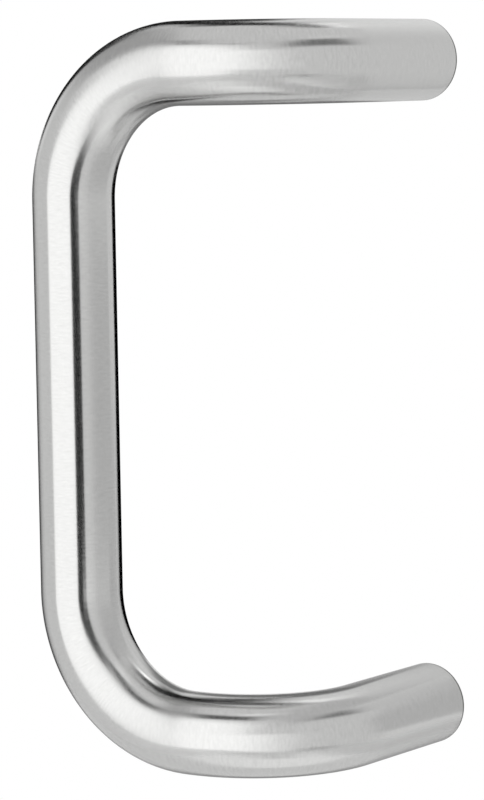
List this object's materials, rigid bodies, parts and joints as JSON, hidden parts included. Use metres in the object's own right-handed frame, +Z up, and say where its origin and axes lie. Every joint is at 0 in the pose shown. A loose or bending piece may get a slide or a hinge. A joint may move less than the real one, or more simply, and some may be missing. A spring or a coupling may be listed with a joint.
{
  "type": "offset pull handle",
  "caption": "Round bar door pull, bent so that the grip stands off to one side of its two feet, with a tapped hole in each foot for a bolt through the door.",
  "frame": {"origin": "midway between the two tapped holes, in the plane of the door that both feet sit on", "axes": "+Y points into the door, along the bolts; +Z points up, along the grip and the line of the holes; the grip is offset towards -X"},
  "size_m": [0.1032, 0.0921, 0.2286],
  "materials": {
    "satin_steel": "satin, brushed around the bar"
  },
  "bodies": {
    "root": {"pull_bar": "satin_steel"}
  },
  "joints": []
}
